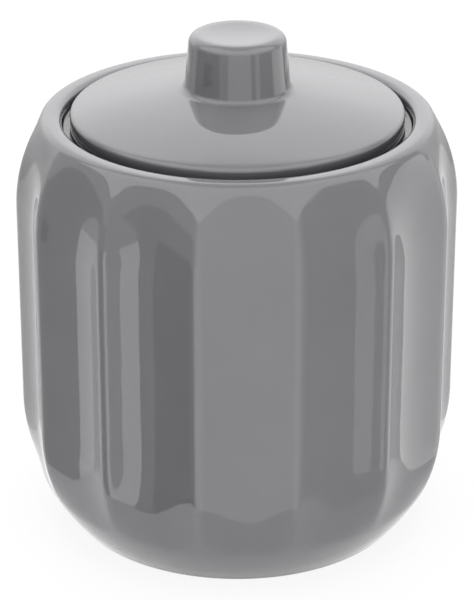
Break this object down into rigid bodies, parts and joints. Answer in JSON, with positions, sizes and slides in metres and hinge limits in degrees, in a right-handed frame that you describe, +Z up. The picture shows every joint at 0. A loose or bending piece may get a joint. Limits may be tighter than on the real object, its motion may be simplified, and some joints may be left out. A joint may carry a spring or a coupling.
{
  "type": "cotton pad holder",
  "caption": "Rounded ceramic cotton pad jar with vertical flutes and a loose domed lid with a short round knob.",
  "frame": {"origin": "middle of the surface that the jar stands on, on the jar's axis", "axes": "+Z up along the jar's axis, -Y towards the side that the picture shows, +X to the right of that side"},
  "size_m": [0.1086, 0.107, 0.1264],
  "materials": {
    "glazed_ceramic": "gloss grey glaze",
    "pad_rubber": "matt soft rubber"
  },
  "bodies": {
    "jar": {"jar": "glazed_ceramic", "foot_pad_1": "pad_rubber", "foot_pad_2": "pad_rubber", "foot_pad_3": "pad_rubber", "foot_pad_4": "pad_rubber"},
    "lid": {"lid": "glazed_ceramic"}
  },
  "joints": [
    {"name": "lid_lift", "type": "slide", "parent": "jar", "child": "lid", "axis": [0, 0, 1], "range_m": [0, 0.08]}
  ]
}
